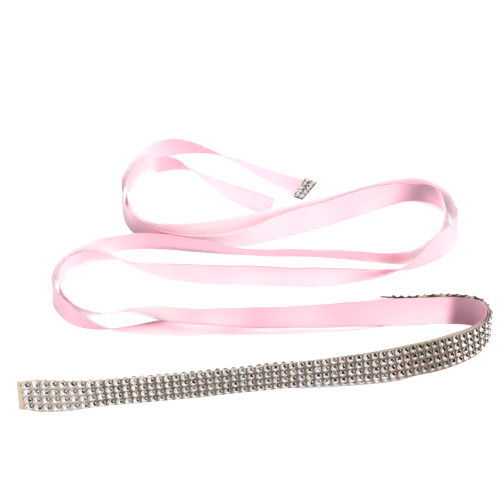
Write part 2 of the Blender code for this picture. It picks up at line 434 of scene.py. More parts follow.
def ribbonSurface(run, across, off=0.0):
    # middle line + across * up + (off + flutter + snug) * face, less the sink, kept on or above the table
    middle, up, face = alongRibbon(run)
    lift = (off + flutter(run, across) + snug(run))[..., None]
    points = middle + np.asarray(across)[..., None] * up + lift * face
    sinks = (byDistance(run, ribbonSizes[name]) for name in ("frontSink", "backSink"))
    points[..., 2] -= np.where(run < 0, *sinks)
    points[..., 2] = np.maximum(points[..., 2], ribbonSizes["thick"] / 2)
    return points


def placed(points):
    # from the layout's millimetres to the frame's metres
    return (np.asarray(points, float) - layout["centre"]) * mm


def newMesh(name, points, faceGroups, look, smooth):
    # faceGroups: arrays of corners, one row a face, each array with its own number of corners
    mesh = bpy.data.meshes.new(name)
    corners = np.concatenate([np.asarray(g).ravel() for g in faceGroups])
    sizes = np.concatenate([np.full(len(g), np.shape(g)[1]) for g in faceGroups])
    mesh.vertices.add(len(points))
    mesh.vertices.foreach_set("co", placed(points).ravel().astype(np.float32))
    mesh.loops.add(len(corners))
    mesh.loops.foreach_set("vertex_index", corners.astype(np.int32))
    mesh.polygons.add(len(sizes))
    mesh.polygons.foreach_set("loop_start", (np.cumsum(sizes) - sizes).astype(np.int32))
    mesh.update(calc_edges=True)
    mesh.polygons.foreach_set("use_smooth", np.full(len(sizes), smooth))
    mesh.materials.append(look)
    made = bpy.data.objects.new(name, mesh)
    bpy.context.scene.collection.objects.link(made)
    return made


def stripMesh(name, run, across, off, thick, look):
    # a strip that follows the ribbon: a grid of run by across, with both kept as its UV map in metres
    points = ribbonSurface(run, across, off)
    rows, columns = run.shape
    corner = np.arange(rows * columns).reshape(rows, columns)
    quads = np.stack([corner[:-1, :-1], corner[:-1, 1:], corner[1:, 1:], corner[1:, :-1]], axis=-1)
    quads = quads.reshape(-1, 4)
    made = newMesh(name, points.reshape(-1, 3), [quads], look, True)
    uv = np.stack([run.ravel(), across.ravel()], axis=-1)[quads.ravel()] * mm
    made.data.uv_layers.new(name="alongAndAcross").data.foreach_set("uv", uv.ravel().astype(np.float32))
    wall = made.modifiers.new("wall", "SOLIDIFY")
    wall.thickness = thick * mm
    wall.offset = 0
    return made


class Wire:
    # a node's output that adds maths nodes when it is used in an expression
    def __init__(self, look, socket):
        self.look, self.socket = look, socket

    def __add__(self, other):
        return self.look.maths("ADD", self, other)

    def __radd__(self, other):
        return self.look.maths("ADD", other, self)

    def __sub__(self, other):
        return self.look.maths("SUBTRACT", self, other)

    def __rsub__(self, other):
        return self.look.maths("SUBTRACT", other, self)

    def __mul__(self, other):
        return self.look.maths("MULTIPLY", self, other)

    def __rmul__(self, other):
        return self.look.maths("MULTIPLY", other, self)

    def size(self):
        return self.look.maths("ABSOLUTE", self, 0)

    def clipped(self):
        return self.look.node("ShaderNodeClamp", {}, {"Value": self})

    def ramp(self, start, length):
        # 0 up to the start and 1 from a length past it; a length below 0 runs the other way
        return ((self - start) * (1 / length)).clipped()


class Look:
    # a material: fixed numbers go straight on the shader's sockets, and nodes are added by name
    def __init__(self, name, fixed):
        self.material = bpy.data.materials.new(name)
        self.material.use_nodes = True
        self.tree = self.material.node_tree
        self.shader = self.tree.nodes["Principled BSDF"]
        self.set(self.shader, fixed)

    def set(self, made, sockets):
        for label, value in sockets.items():
            if isinstance(value, Wire):
                self.tree.links.new(value.socket, made.inputs[label])
            else:
                made.inputs[label].default_value = value

    def node(self, kind, settings, sockets, output=0):
        made = self.tree.nodes.new(kind)
        for label, value in settings.items():
            if label == "stops":
                while len(made.color_ramp.elements) < len(value):
                    made.color_ramp.elements.new(0.5)
                for element, (place, colour) in zip(made.color_ramp.elements, value):
                    element.position, element.color = place, (*colour, 1)
            else:
                setattr(made, label, value)
        self.set(made, sockets)
        return Wire(self, made.outputs[output])

    def maths(self, operation, a, b):
        return self.node("ShaderNodeMath", {"operation": operation}, {0: a, 1: b})

    def mixed(self, share, a, b, blend="MIX"):
        a, b = (c if isinstance(c, Wire) else (*c, 1) for c in (a, b))
        settings = {"data_type": "RGBA", "blend_type": blend}
        return self.node("ShaderNodeMix", settings, {0: share, 6: a, 7: b}, 2)

    def noise(self, scale, detail, vector=None):
        # without a vector of its own it is read at the piece's own places
        vector = vector or self.coordinate("Object")
        return self.node("ShaderNodeTexNoise", {}, {"Scale": scale, "Detail": detail, "Vector": vector})

    def wave(self, value, period):
        # a smooth stripe between 0 and 1 for each period of the value
        return self.maths("SINE", value * (2 * np.pi / period), 0) * 0.5 + 0.5

    def coordinate(self, name):
        return self.node("ShaderNodeTexCoord", {}, {}, {"Object": 3, "UV": 2, "Normal": 1}[name])

    def split(self, vector, axis):
        return self.node("ShaderNodeSeparateXYZ", {}, {"Vector": vector}, axis)

    def stored(self, name, output=0):
        # an attribute of the mesh: output 0 is its colour and 2 its value
        return self.node("ShaderNodeAttribute", {"attribute_name": name}, {}, output)

    def bump(self, height, distance, strength):
        return self.node("ShaderNodeBump", {}, {"Height": height, "Distance": distance, "Strength": strength})

    def finish(self, sockets):
        self.set(self.shader, sockets)
        return self.material


satinLook = {
    # painted shading: tones from the deepest painted shade in the folds to the painted highlight where the
    # satin shines most
    "tones": [
        (0.0, (0.31, 0.13, 0.175)), (0.25, (0.52, 0.28, 0.35)), (0.5, (0.83, 0.445, 0.555)),
        (0.75, (0.96, 0.62, 0.68)), (1.0, (0.97, 0.945, 0.95)),
    ],
    "glow": (1.0, 0.96, 0.98),  # painted light: an emission that stands in for light coming through the satin where two layers stand close
    "rearPaintedShade": 0.55,  # painted shade: faces turned back, away from the window, are drawn to this paleness
    "rearShare": 0.75,
    "rearUp": 0.7,  # and a face that also looks up counts this much less as turned back
    "rearFrom": (-0.2, 1 / 3),
    "cloudScale": 40.0,
    "cloudShade": 0.12,
    "threadScale": (60.0, 4200.0, 1.0),
    "threadShade": 0.1,
    "threadHeight": 0.03 * mm,
    "threadDepth": 0.5,
    "warpPitch": 0.16 * mm,  # the long threads
    "weftPitch": 0.45 * mm,
    "edgeWidth": 0.5 * mm,  # the woven edge, duller and a little darker: its own tone, and painted shade where the edge would catch light
    "edgeShade": 0.08,
    # shares of the threads' height: long threads, uneven ones, cross threads, and these more at the edge
    "warpRise": 0.5,
    "threadRise": 0.5,
    "weftRise": 0.15,
    "edgeRise": 0.8,
    "rough": 0.38,
    "threadRough": 0.12,
    "edgeRough": 0.25,
    "mostPaintedLight": 2,
    # painted shade and light on each half: distance from the fold, then how pale its low and its high edge
    # are painted.
    # It is painted paler where it bends to the window and painted deeper, as shade, inside the bends; past 1
    # it paints light coming through it as well.
    "frontPaintedShading": [
        (250, 0.9, 0.95), (262, 0.92, 0.64), (275, 0.79, 0.68), (290, 0.87, 0.83), (335, 0.88, 0.88),
        (350, 0.86, 0.8), (365, 0.84, 0.3), (376, 0.85, 0.66), (394, 0.88, 0.7), (415, 0.8, 0.74),
        (426, 0.52, 0.34), (445, 0.43, 0.54), (455, 0.36, 0.38), (466, 0.36, 0.22), (472, 1.15, 1.15),
        (487, 1.2, 1.0), (500, 0.98, 1.0), (508, 0.9, 1.2), (525, 0.77, 0.84), (546, 0.55, 0.6),
        (562, 0.57, 0.58), (585, 0.7, 0.6), (600, 0.68, 0.5), (625, 0.7, 0.42), (645, 0.69, 0.54),
        (656, 0.73, 0.66), (666, 0.66, 0.34), (674, 0.93, 0.84), (682, 1.15, 1.1), (694, 1.22, 1.22),
        (703, 1.05, 1.1), (714, 0.84, 1.28), (722, 0.88, 1.15), (731, 0.46, 0.44), (738, 0.28, 0.24),
        (745, 0.3, 0.02), (752, 0.48, 0.34), (759, 0.73, 0.75), (768, 0.74, 0.83), (785, 0.72, 0.74),
        (806, 0.77, 0.82), (820, 0.78, 0.8), (848, 0.85, 0.88), (862, 0.91, 0.93), (876, 0.88, 0.76),
        (888, 0.54, 0.46), (904, 0.22, 0.12), (915, 0.34, 0.16), (928, 0.24, 0.2), (938, 0.82, 0.76),
        (946, 0.98, 0.92), (953, 1.0, 0.9), (966, 0.95, 1.06), (986, 0.77, 0.86), (996, 0.69, 0.68),
        (1014, 0.6, 0.46), (1024, 0.38, 0.44), (1036, 0.67, 0.68), (1055, 0.73, 0.7),
        (1075, 0.76, 0.62),
    ],
    "backPaintedShading": [
        (236, 0.1, 0.3), (247, 0.0, 0.16), (250, 0.42, 0.4), (253, 0.96, 0.68), (266, 0.87, 0.68),
        (285, 0.77, 0.6), (305, 0.65, 0.57), (322, 0.77, 0.68), (345, 0.6, 0.57), (350, 0.68, 0.6),
        (355, 0.8, 0.68), (366, 0.88, 0.72), (376, 0.79, 0.68), (387, 0.92, 0.8), (395, 1.03, 0.9),
        (403, 1.04, 0.94), (415, 0.9, 0.85), (425, 0.85, 0.96), (450, 1.05, 0.88), (460, 0.88, 0.77),
        (475, 0.82, 0.74), (485, 0.68, 0.59), (495, 0.64, 0.72), (505, 0.8, 0.8), (516, 0.87, 0.8),
        (545, 0.8, 0.79), (565, 0.82, 0.8), (580, 0.84, 0.76), (605, 0.85, 0.79), (625, 0.92, 0.77),
        (634, 0.94, 0.7), (643, 0.58, 0.55), (652, 0.7, 0.56), (665, 0.67, 0.62), (684, 0.76, 0.7),
        (696, 0.67, 0.58), (704, 0.95, 0.92), (713, 0.98, 0.98), (726, 0.92, 0.96), (737, 0.68, 0.86),
        (746, 0.62, 0.92), (755, 0.85, 0.95), (785, 1.0, 1.0), (815, 0.98, 0.9), (830, 1.0, 0.83),
        (857, 1.0, 0.87), (877, 0.95, 0.84), (887, 1.1, 1.05), (893, 1.3, 1.25), (905, 1.8, 1.15),
        (917, 1.05, 0.94), (926, 0.72, 0.64), (936, 0.74, 0.54), (945, 0.8, 0.68), (956, 0.84, 0.76),
        (963, 0.52, 0.57), (976, 0.46, 0.42), (984, 0.88, 0.8), (996, 0.84, 0.77), (1015, 0.77, 0.77),
        (1040, 0.73, 0.76),
    ],
    # soft patches of painted shade and light of their own: half, distance, place across, length, width, how
    # much paler
    "paintedShadingPatches": [
        ("front", 398, 7, 16, 3, -0.6),
        ("front", 556, 8, 22, 4, -0.35),
        ("front", 578, 8, 16, 4, -0.2),
        ("front", 738, 6, 12, 5, 0.2),
        ("front", 738, -7, 12, 5, -0.15),
        ("front", 912, 6, 12, 5, -0.12),
        ("front", 912, -7, 12, 5, 0.16),
        ("front", 1050, -8, 22, 2.5, 0.3),
        ("front", 950, -7, 14, 5, 0.2),
        ("back", 244, -7, 10, 5, -0.1),
        ("back", 641, 1, 11, 4, -0.4),
        ("back", 484, -8, 16, 5, 0.28),
        ("back", 955, -8, 16, 4, 0.18),
    ],
}


def paintShading(run, across):
    # painted shade and light: the tables' eased curves, mixed from the low edge to the high one, and a
    # rounded hill for each patch
    height = across / ribbonSizes["width"] + 0.5
    halves = []
    for table in (satinLook["frontPaintedShading"], satinLook["backPaintedShading"]):
        at, low, high = np.array(table, float).T
        where = np.clip(np.abs(run) - foldHalf, at[0], at[-1])
        halves.append(easedCurve(at, low, where) * (1 - height) + easedCurve(at, high, where) * height)
    pale = np.where(run < 0, *halves)
    for half, at, place, length, width, more in satinLook["paintedShadingPatches"]:
        away = run - runOf(half, at)
        pale = pale + more * np.exp(-((away / length) ** 2) - ((across - place) / width) ** 2)
    return np.clip(pale, 0, satinLook["mostPaintedLight"])


def satinMaterial():
    thin = {"Subsurface Weight": 0.6, "Subsurface Radius": (1, 0.85, 0.88), "Subsurface Scale": 0.6 * mm}
    look = Look("satin", {"Specular IOR Level": 0.7, "IOR": 1.5, "Emission Strength": 1.0, **thin})
    uv = look.coordinate("UV")
    along, across = look.split(uv, 0), look.split(uv, 1)
    edge = satinLook["edgeWidth"]
    rim = across.size().ramp(ribbonSizes["width"] / 2 * mm - edge, edge)
    cloud = look.noise(satinLook["cloudScale"], 2.0)
    # threads of slightly different tone: noise drawn out along the ribbon
    stretched = look.node("ShaderNodeMapping", {}, {"Vector": uv, "Scale": satinLook["threadScale"]})
    thread = look.noise(1.0, 2.0, stretched)
    warp, weft = look.wave(across, satinLook["warpPitch"]), look.wave(along, satinLook["weftPitch"])
    pale = look.stored("pale", 2)
    # painted shade by side: faces turned back are painted evenly pink, and get none of the painted light that
    # comes through
    facing = look.coordinate("Normal")
    rear = look.split(facing, 1) - look.split(facing, 2) * satinLook["rearUp"]
    rear = rear.ramp(*satinLook["rearFrom"]) * (1 - rim)
    # painted light: the satin glows where its painted shading passes 1, less on faces turned back
    glow = look.mixed((pale - 1).clipped() * (1 - rear), (0.0, 0.0, 0.0), satinLook["glow"])
    pale = pale + (satinLook["rearPaintedShade"] - pale) * rear * satinLook["rearShare"]
    pale = pale + (cloud - 0.5) * satinLook["cloudShade"] + (thread - 0.5) * satinLook["threadShade"]
    # the woven edge is painted a little darker, partly its own tone and partly painted shade
    pale = pale - rim * satinLook["edgeShade"]
    # the satin's colour, picked from the tones by its painted shade and light
    colour = look.node("ShaderNodeValToRGB", {"stops": satinLook["tones"]}, {"Fac": pale.clipped()})
    height = warp * satinLook["warpRise"] + thread * satinLook["threadRise"]
    height = height + weft * (satinLook["weftRise"] + rim * satinLook["edgeRise"])
    rough = satinLook["rough"] + (thread - 0.5) * satinLook["threadRough"] + rim * satinLook["edgeRough"]
    normal = look.bump(height, satinLook["threadHeight"], satinLook["threadDepth"])
    return look.finish({"Base Color": colour, "Roughness": rough, "Normal": normal, "Emission Color": glow})


tapeLook = {
    # painted shade: the dark brown of the gaps between columns, where the tape lies in shadow
    "gap": (0.21, 0.13, 0.08),
    "light": (0.36, 0.24, 0.15),
    "warm": (0.32, 0.14, 0.055),  # towards the right turn
    "cream": (0.64, 0.52, 0.39),  # by the fold, with a dot of glue between stones
    "glue": (0.30, 0.15, 0.09),
    "rim": (0.50, 0.40, 0.28),
    "farRim": (0.03, 0.02, 0.015),  # past the right turn
    # where these tones start along the band, and over what length they come in
    "warmFrom": (150 * mm, 40 * mm),
    "creamFrom": (40 * mm, -12 * mm),
    "farFrom": (226 * mm, 8 * mm),
    "rimWidth": 0.9 * mm,
    "threadPitch": 0.5 * mm,
    "threadHeight": 0.08 * mm,
    "threadDepth": 0.6,
    # the noise or stripe where a tone starts, and over how much of it the tone comes in
    "lightFrom": (0.4, 0.4),
    "warmBlotch": (0.2, 0.5),
    "glueFrom": (0.7, 0.2),
    "fleckFrom": (0.5, 1 / 7),
    "warmShare": 0.8,
    "creamShare": 0.85,
    "glueShare": 0.8,
    # a stripe is brightest a quarter of its period on, so these put the glue dots level with the rows,
    # in the middle between two columns
    "glueAlong": 0.25,
    "glueAcross": 1.0 * mm,
    "blotchScale": 160.0,
    "fleckScale": 420.0,
    "rough": 0.5,
    "blotchRough": 0.2,
}


def weaveBump(look, along, across):
    # a small hill where two threads cross
    pitch = tapeLook["threadPitch"]
    weave = look.wave(along, pitch) * look.wave(across, pitch)
    return look.bump(weave, tapeLook["threadHeight"], tapeLook["threadDepth"])


def tapeMaterial():
    look = Look("bandingTape", {"Specular IOR Level": 0.4})
    uv = look.coordinate("UV")
    along, across = look.split(uv, 0), look.split(uv, 1)
    rimWidth = tapeLook["rimWidth"]
    edge = ribbonSizes["width"] / 2 * mm - rimWidth
    topRim, lowRim = across.ramp(edge, rimWidth), (across * -1).ramp(edge, rimWidth)
    blotch = look.noise(tapeLook["blotchScale"], 3.0)
    # mottled between the painted shade of the gaps and the tape's lighter brown
    colour = look.mixed(blotch.ramp(*tapeLook["lightFrom"]), tapeLook["gap"], tapeLook["light"])
    frontAlong = along * -1
    warm = frontAlong.ramp(*tapeLook["warmFrom"]) * blotch.ramp(*tapeLook["warmBlotch"])
    colour = look.mixed(warm * tapeLook["warmShare"], colour, tapeLook["warm"])
    cream = along.size().ramp(*tapeLook["creamFrom"])
    colour = look.mixed(cream * tapeLook["creamShare"], colour, tapeLook["cream"])
    # glue dots
    pitch, first = bandSizes["widePitch"] * mm, (bandSizes["firstColumn"] + foldHalf) * mm
    skew, rows = bandSizes["columnSkew"][0][1], bandSizes["rowPitch"][0][1] * mm
    slanted = along - across * skew + first
    high = across - bandSizes["lowRow"] * mm + tapeLook["glueAcross"]
    dots = look.wave(slanted - pitch * tapeLook["glueAlong"], pitch) * look.wave(high, rows)
    dots = dots.ramp(*tapeLook["glueFrom"]) * cream * tapeLook["glueShare"]
    colour = look.mixed(dots, colour, tapeLook["glue"])
    # the rims: evenly pale, and flecked with dark past the right turn
    fleck = look.noise(tapeLook["fleckScale"], 1.0)
    farTone = look.mixed(fleck.ramp(*tapeLook["fleckFrom"]), tapeLook["farRim"], tapeLook["rim"])
    rimTone = look.mixed(frontAlong.ramp(*tapeLook["farFrom"]), tapeLook["rim"], farTone)
    colour = look.mixed(topRim + lowRim * cream, colour, rimTone)
    rough = tapeLook["rough"] + blotch * tapeLook["blotchRough"]
    return look.finish({"Base Color": colour, "Roughness": rough, "Normal": weaveBump(look, along, across)})


tipLook = {
    # painted shade: the dark brown between the tip's columns
    "gap": (0.13, 0.09, 0.055),
    "light": (0.40, 0.34, 0.22),
    "lightFrom": (0.4, 1 / 3),
    "blotchScale": 500.0,
    "rough": 0.4,
    "blotchRough": 0.2,
}


def tipMaterial():
    # the tip's backing: a mesh tape painted dark brown for the shade between columns, with painted glints of
    # silver
    look = Look("tipBacking", {"Specular IOR Level": 0.5})
    uv = look.coordinate("UV")
    blotch = look.noise(tipLook["blotchScale"], 3.0)
    colour = look.mixed(blotch.ramp(*tipLook["lightFrom"]), tipLook["gap"], tipLook["light"])
    normal = weaveBump(look, look.split(uv, 0), look.split(uv, 1))
    rough = tipLook["rough"] + blotch * tipLook["blotchRough"]
    return look.finish({"Base Color": colour, "Roughness": rough, "Normal": normal})


cupLook = {
    "worn": (0.6, 0.55, 0.5),
    "wornFrom": (0.45, 2 / 3),
    "blotchScale": 900.0,
    "blotchHeight": 0.03 * mm,
    "blotchDepth": 0.4,
    "rough": 0.22,
    "blotchRough": 0.2,
}


def cupMaterial():
    look = Look("silverCup", {"Metallic": 0.35, "IOR": 1.5})
    blotch = look.noise(cupLook["blotchScale"], 2.0)
    colour = look.mixed(blotch.ramp(*cupLook["wornFrom"]), look.stored("tone"), cupLook["worn"], "MULTIPLY")
    normal = look.bump(blotch, cupLook["blotchHeight"], cupLook["blotchDepth"])
    rough = cupLook["rough"] + blotch * cupLook["blotchRough"]
    return look.finish({"Base Color": colour, "Roughness": rough, "Normal": normal})


stoneLook = {
    "cloud": (0.75, 0.75, 0.8),
    "cloudScale": 1400.0,
    "cloudShare": 0.25,
    "cloudMetal": 0.3,
    "rough": 0.08,
    "cloudRough": 0.1,
    "blackFrom": (0.3, -1 / 6),  # facets darker than this are a painted dark reflection and mirror only the dark
}


def stoneMaterial():
    look = Look("rhinestone", {"IOR": 1.55, "Specular IOR Level": 0.3})
    tone = look.stored("tone")
    cloud = look.noise(stoneLook["cloudScale"], 1.0)
    colour = look.mixed(cloud * stoneLook["cloudShare"], tone, stoneLook["cloud"], "MULTIPLY")
    black = look.split(tone, 1).ramp(*stoneLook["blackFrom"])
    metal = (cloud * stoneLook["cloudMetal"] + black).clipped()
    rough = stoneLook["rough"] + cloud * stoneLook["cloudRough"]
    return look.finish({"Base Color": colour, "Metallic": metal, "Roughness": rough})


# Ribbon: one length, from the front tail's end round the fold to the back tail's end
frontReach, backReach = frontLine.length + foldHalf, backLine.length + foldHalf + ribbonSizes["tailMore"]
stations = int(round((frontReach + backReach) / ribbonSizes["step"])) + 1
run = np.linspace(-frontReach, backReach, stations)[:, None]
across = np.linspace(-0.5, 0.5, ribbonSizes["across"])[None, :] * ribbonSizes["width"]
slant = np.clip((run - backReach) / ribbonSizes["slantOver"] + 1, 0, 1)
run = run + ribbonSizes["tailSlant"] * across / ribbonSizes["width"] * slant
across = across + 0 * run
ribbon = stripMesh("satinRibbon", run, across, 0.0, ribbonSizes["thick"], satinMaterial())
# painted shade and light, kept on the ribbon's points
pale = paintShading(run, across).ravel().astype(np.float32)
ribbon.data.attributes.new("pale", "FLOAT", "POINT").data.foreach_set("value", pale)
print("ribbon:", round((frontReach + backReach) * mm, 3), "m long")

bandSizes = {
    "tapeThick": 0.3,
    "tapeOff": 0.35,  # the tape's middle, off the ribbon's
    "tapeHalf": 8.1,
    "tapeMore": 2.4,  # past the last stones
    "tapeStep": 0.8,
    "tapeAcross": 9,
    "rows": 4,
    "lowRow": -5.6,
    "firstColumn": 2.4,  # from the fold
    "columnPitch": 3.9,
    "widePitch": 4.2,  # the first columns stand wider apart
    "wideColumns": 9,
    "mostColumns": 90,
    "lastGap": 1.5,  # no column stands nearer to the band's end
    "runSpread": 0.07,  # how unevenly the stones sit
    "acrossSpread": 0.05,
    "tiltSpread": 0.05,
    "stoneRadius": 1.3,
    "stoneTall": 1.12,  # stones are this much longer across the band
    "stoneHeight": 1.6,
    "cupWide": 1.56,  # half of the cup along the band
    "cupTall": 1.88,  # and half of it across, where neighbours touch
    "cupFoot": 0.45,  # the cup's foot off the ribbon's middle
    "cupHeight": 1.1,
    "cupSides": 12,
    "seed": 4,
    # the rest by distance from the fold: how far apart the rows are
    "rowPitch": [(0, 4.0), (60, 4.05), (100, 4.15), (150, 4.1), (200, 3.8), (320, 3.75)],
    # how far the rows sit above the tape's middle on each half
    "frontDrift": [
        (0, 0.1), (60, 0.2), (95, 0.5), (125, 0.2), (180, 0.1), (212, 0.4), (232, 0.9), (246, 1.5),
        (310, 1.5),
    ],
    "backDrift": [(0, -0.2), (200, -0.4)],
    # how much higher the tape's top edge reaches on the front half
    "tapeTop": [(150, 0), (170, 0.5), (225, 0.5), (236, 0.4), (248, 1.2), (275, 1.1), (305, -0.2)],
    # how much the columns lean towards the fold
    "columnSkew": [(0, 0.07), (160, 0.08), (200, 0.13), (240, 0.06)],
    # painted light and shade: how bright stones and cups are painted along the band
    "stonePaintedLight": [
        (0, 1.05), (50, 0.98), (90, 0.78), (130, 0.84), (172, 0.84), (188, 0.62), (198, 0.64), (208, 1.0),
        (225, 1.2), (250, 1.2), (256, 0.4), (320, 0.4),
    ],
    "cupPaintedLight": [
        (0, 1.05), (90, 0.9), (130, 1.0), (172, 0.98), (188, 0.62), (198, 0.64), (208, 1.0), (246, 1.1),
        (254, 0.2), (320, 0.2),
    ],
    # how wide the cups are
    "cupSpread": [(0, 1.16), (40, 1.14), (50, 1), (320, 1)],
    # painted reflection: where the dark facets face in degrees from the side, and how unevenly
    "paintedDarkSide": [(0, 20), (40, 30), (90, 55), (150, 60), (200, 60), (320, 70)],
    "darkSpread": 16,
    # how dark that painted reflection is, and how much less the cups are
    "darkDepth": [(0, 0.8), (60, 0.85), (170, 0.95), (190, 1.15), (320, 1.2)],
    "depthSpread": 0.15,
    "leastDepth": 0.2,
    "cupLess": 0.2,
    # the cosine to the painted dark side's middle at which it starts
    "darkEdge": [
        (0, 0.4), (60, 0.4), (120, 0.3), (170, 0.15), (188, -0.25), (200, -0.3), (215, -0.25), (320, -0.2),
    ],
}

stoneCut = {
    # ring by ring from the stone's table down, on a radius and a height of 1: corners, turn, radius, height
    "rings": [(8, 0, 0.56, 0.98), (8, 0.5, 0.82, 0.82), (16, 0, 1.0, 0.6), (16, 0, 0.9, 0.1)],
    # its groups of facets: turn, tone, how dark the painted dark side may be
    "facets": [
        (0.5, 0.82, 1.0), (0, 0.6, 1.0), (0.5, 0.72, 1.0), (0.5, 0.7, 0.9), (0, 0.55, 0.4), (0, 0.3, 0.0),
    ],
    # the tints of single stones and facets
    "casts": [
        (1.0, 1.0, 1.0), (1.0, 1.0, 1.0), (0.74, 0.95, 0.86), (0.86, 0.80, 1.0), (1.0, 0.80, 0.88),
        (0.97, 0.95, 0.78),
    ],
    "ownCast": 0.4,  # the share of a facet's own tint
    "toneSpread": 0.12,
    "bright": 0.3,  # painted highlight: facets across from the dark side are this much brighter, between these cosines to it
    "brightFrom": (0.2, 0.9),
    "darkOver": 0.35,  # the painted dark side comes in over this much of the cosine
    "leastTone": 0.02,
}

cupForm = {
    # the wall from foot to rim and down inside: radius, and height as a share of the cup's
    "levels": [(0.84, 0.0), (1.0, 0.5), (0.98, 1.0), (0.88, 1.02), (0.8, 0.5)],
    # a prong, a wedge that is wide at the rim and narrow over the stone:
    # share of its reach, place to the side, and height as a share of the cup's
    "prongReach": 1.62,
    "prongCorners": [
        (1.0, -0.34, 0.5), (1.0, 0.34, 0.5), (0.97, 0.26, 1.15), (0.97, -0.26, 1.15),
        (0.8, -0.3, 0.6), (0.8, 0.3, 0.6), (0.7, 0.14, 1.32), (0.7, -0.14, 1.32),
    ],
    "prongFaces": [(0, 1, 2, 3), (5, 4, 7, 6), (3, 2, 6, 7), (1, 5, 6, 2), (4, 0, 3, 7), (4, 5, 1, 0)],
    # its groups of faces: tone, painted darker towards the foot and inside the cup where shade falls, and how
    # dark the painted dark side may be
    "faces": [(0.4, 0.7), (0.72, 0.8), (0.92, 0.8), (0.7, 0.8), (0.3, 0), (0.4, 0), (0.96, 0)],
    "toneSpread": (0.05, 0.12),  # the second grows with the tone
    "leastTone": 0.05,
    "darkFrom": (0.2, 0.8),  # cosines to the painted dark side's middle
    "silver": (1.0, 0.97, 0.95),
    # painted shade: the brown that cups take where they are painted dim
    "dim": (1.0, 0.8, 0.6),
}


def bandAt(name, run):
    # one of the band's own tables, read by distance
    return byDistance(run, bandSizes[name])


def stoneShape():
    # a brilliant: table of 8 cut in wedges, a ring of 8 half way down and a girdle of 16;
    # the rings start at points 0, 8, 16 and 32, and the middle of the table is point 48
    def ring(corners, turn, radius, height):
        # a level circle of corners
        angle = (np.arange(corners) + turn) * 2 * np.pi / corners
        return np.stack([radius * np.cos(angle), radius * np.sin(angle), np.full(corners, height)], axis=-1)

    top = np.array([[0, 0, 1.0]])
    points = np.concatenate([*(ring(*row) for row in stoneCut["rings"]), top])
    i, k = np.arange(8), np.arange(16)
    after, after16 = (i + 1) % 8, (k + 1) % 16
    wedges = np.stack([i, after, 0 * i + 48], axis=-1)
    star = np.stack([i, 8 + i, after], axis=-1)
    kite = np.stack([i, 8 + (i - 1) % 8, 16 + 2 * i, 8 + i], axis=-1)
    lower = np.concatenate([
        np.stack([8 + i, 16 + 2 * i, 16 + 2 * i + 1], axis=-1),
        np.stack([8 + i, 16 + 2 * i + 1, 16 + (2 * i + 2) % 16], axis=-1),
    ])
    belt = np.stack([32 + k, 32 + after16, 16 + after16, 16 + k], axis=-1)
    return points, [wedges, kite, star, lower, belt, (32 + k[::-1])[None, :]]


def cupShape():
    # a turned cup with a rim, drawn out across the band, and 4 prongs that lean over the stone
    sides, tall = bandSizes["cupSides"], bandSizes["cupHeight"]
    i = np.arange(sides)
    angle = i * np.pi / (sides / 2)
    wide, long = bandSizes["cupWide"] * np.cos(angle), bandSizes["cupTall"] * np.sin(angle)
    circle = np.stack([wide, long, 0 * angle], axis=-1)
    points = np.concatenate([circle * radius + [0, 0, share * tall] for radius, share in cupForm["levels"]])
    low, low2 = i, (i + 1) % sides
    walls = [
        np.stack([low, low2, low2 + sides, low + sides], axis=-1) + sides * k
        for k in range(len(cupForm["levels"]) - 1)
    ]
    foot, floor = i[::-1][None, :], (len(points) - sides + i)[None, :]
    wedge = np.array(cupForm["prongCorners"]) * [cupForm["prongReach"], 1, tall]
    prongs, prongFaces = [], []
    for k in range(4):
        c, s = np.cos(np.pi * (k + 0.5) / 2), np.sin(np.pi * (k + 0.5) / 2)
        prongs.append(wedge @ np.array([(c, s, 0), (-s, c, 0), (0, 0, 1)]))
        prongFaces.append(np.array(cupForm["prongFaces"]) + len(points) + len(wedge) * k)
    return np.concatenate([points, *prongs]), [*walls, foot, floor, np.concatenate(prongFaces)]


def copiesMesh(name, shape, origins, axes, scale, look, tones):
    # one joined mesh: every copy's points are origin + shape turned by the copy's own three axes
    points, groups = shape
    everywhere = origins[:, None, :] + np.einsum("mi,nij->nmj", points * scale, axes)
    shift = (np.arange(len(origins)) * len(points))[:, None, None]
    faces = [(g[None, :, :] + shift).reshape(-1, g.shape[1]) for g in groups]
    made = newMesh(name, everywhere.reshape(-1, 3), faces, look, False)
    colour = np.concatenate([t.reshape(-1, 3) for t in tones])
    stored = made.data.attributes.new("tone", "FLOAT_COLOR", "FACE")
    stored.data.foreach_set("color", np.c_[colour, np.ones(len(colour))].ravel().astype(np.float32))
    return made


def columnsOf(length):
    # where each column starts: wide apart at the fold, then even
    wide = np.full(bandSizes["wideColumns"], bandSizes["widePitch"])
    even = np.full(bandSizes["mostColumns"], bandSizes["columnPitch"])
    at = np.cumsum(np.r_[bandSizes["firstColumn"], wide, even])
    return at[at < length - bandSizes["lastGap"]]


def bandPlaces():
    # every stone of the long band: its run and its place across the ribbon
    runs = np.concatenate([-columnsOf(bandFront)[::-1] - foldHalf, columnsOf(bandBack) + foldHalf])
    run, row = np.meshgrid(runs, np.arange(bandSizes["rows"]), indexing="ij")
    drift = np.where(run < 0, bandAt("frontDrift", run), bandAt("backDrift", run))
    across = bandSizes["lowRow"] + bandAt("rowPitch", run) * row + drift
    skewed = run - np.sign(run) * bandAt("columnSkew", run) * across
    run = skewed + chance.normal(0, bandSizes["runSpread"], run.shape)
    across = across + chance.normal(0, bandSizes["acrossSpread"], run.shape)
    return run.ravel(), across.ravel()


def tilts(count):
    # how far each face leans to the side and up
    return chance.normal(0, bandSizes["tiltSpread"], (count, 2))


def axesAt(run, tilt, facing):
    # side, up and face of the ribbon there, tilted a little; facing -1 looks out of its other side
    middle, up, face = alongRibbon(run)
    face = face * facing
    side = np.cross(up, face)
    face = unit(face + tilt[:, :1] * side + tilt[:, 1:] * up)
    side = unit(np.cross(up, face))
    return np.stack([side, np.cross(face, side), face], axis=1)


